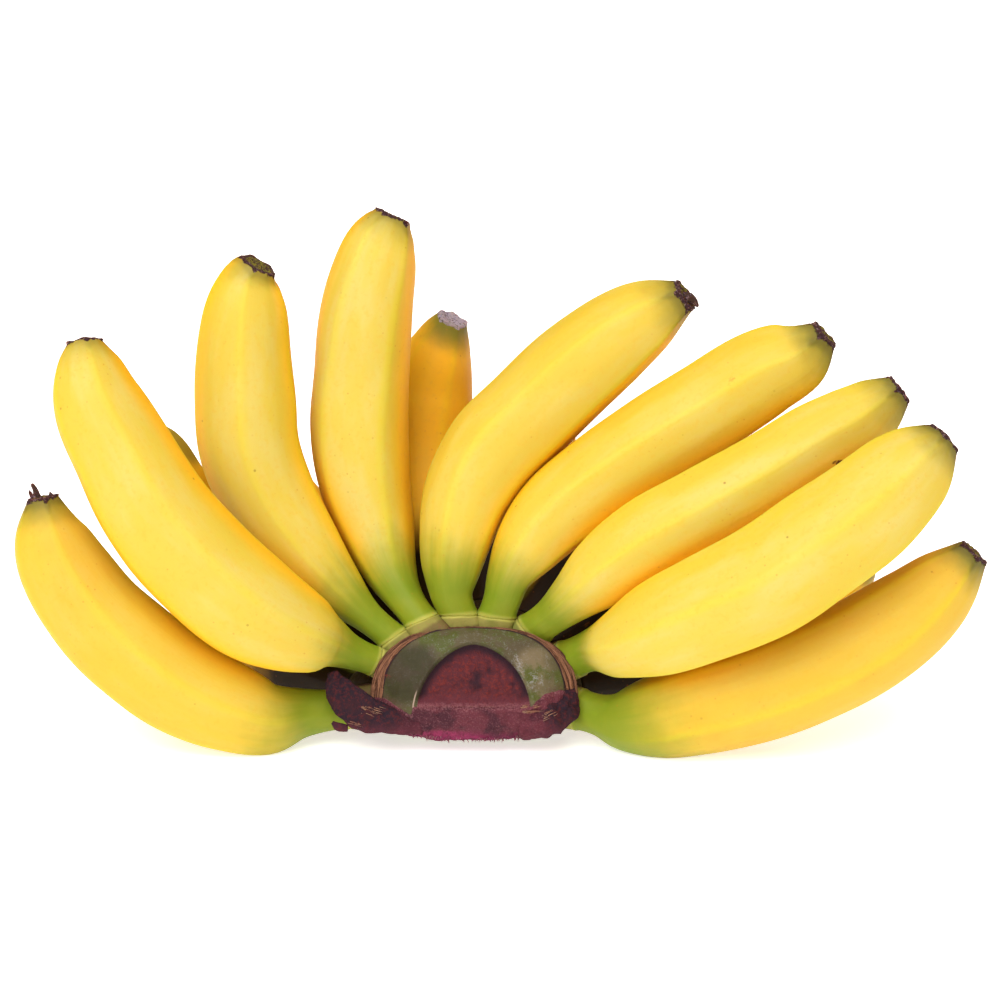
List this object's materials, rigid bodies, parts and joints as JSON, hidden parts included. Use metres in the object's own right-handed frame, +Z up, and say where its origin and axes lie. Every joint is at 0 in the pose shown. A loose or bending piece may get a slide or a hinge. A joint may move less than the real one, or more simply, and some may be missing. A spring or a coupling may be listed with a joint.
{
  "type": "hand of baby bananas",
  "caption": "Ripe baby bananas in two fanned rows on one cut crown, standing on the bellies of the outer fingers with the cut face to the front.",
  "frame": {"origin": "on the ground under the middle of the hand's bounding box", "axes": "+Z up, +X along the spread of the fan to the viewer's right, -Y towards the side where the crown's cut face shows"},
  "size_m": [0.2479, 0.1277, 0.1355],
  "materials": {
    "front_skin": "waxy banana skin, satin",
    "back_skin": "waxy banana skin, satin",
    "crown": "dull green skin round a dry purple-brown cut"
  },
  "bodies": {
    "root": {"crown": "crown", "front_finger_1": "front_skin", "front_finger_2": "front_skin", "front_finger_3": "front_skin", "front_finger_4": "front_skin", "front_finger_5": "front_skin", "front_finger_6": "front_skin", "front_finger_7": "front_skin", "front_finger_8": "front_skin", "front_finger_9": "front_skin", "back_finger_1": "back_skin", "back_finger_2": "back_skin", "back_finger_3": "back_skin", "back_finger_4": "back_skin", "back_finger_5": "back_skin", "back_finger_6": "back_skin", "back_finger_7": "back_skin", "back_finger_8": "back_skin"}
  },
  "joints": []
}
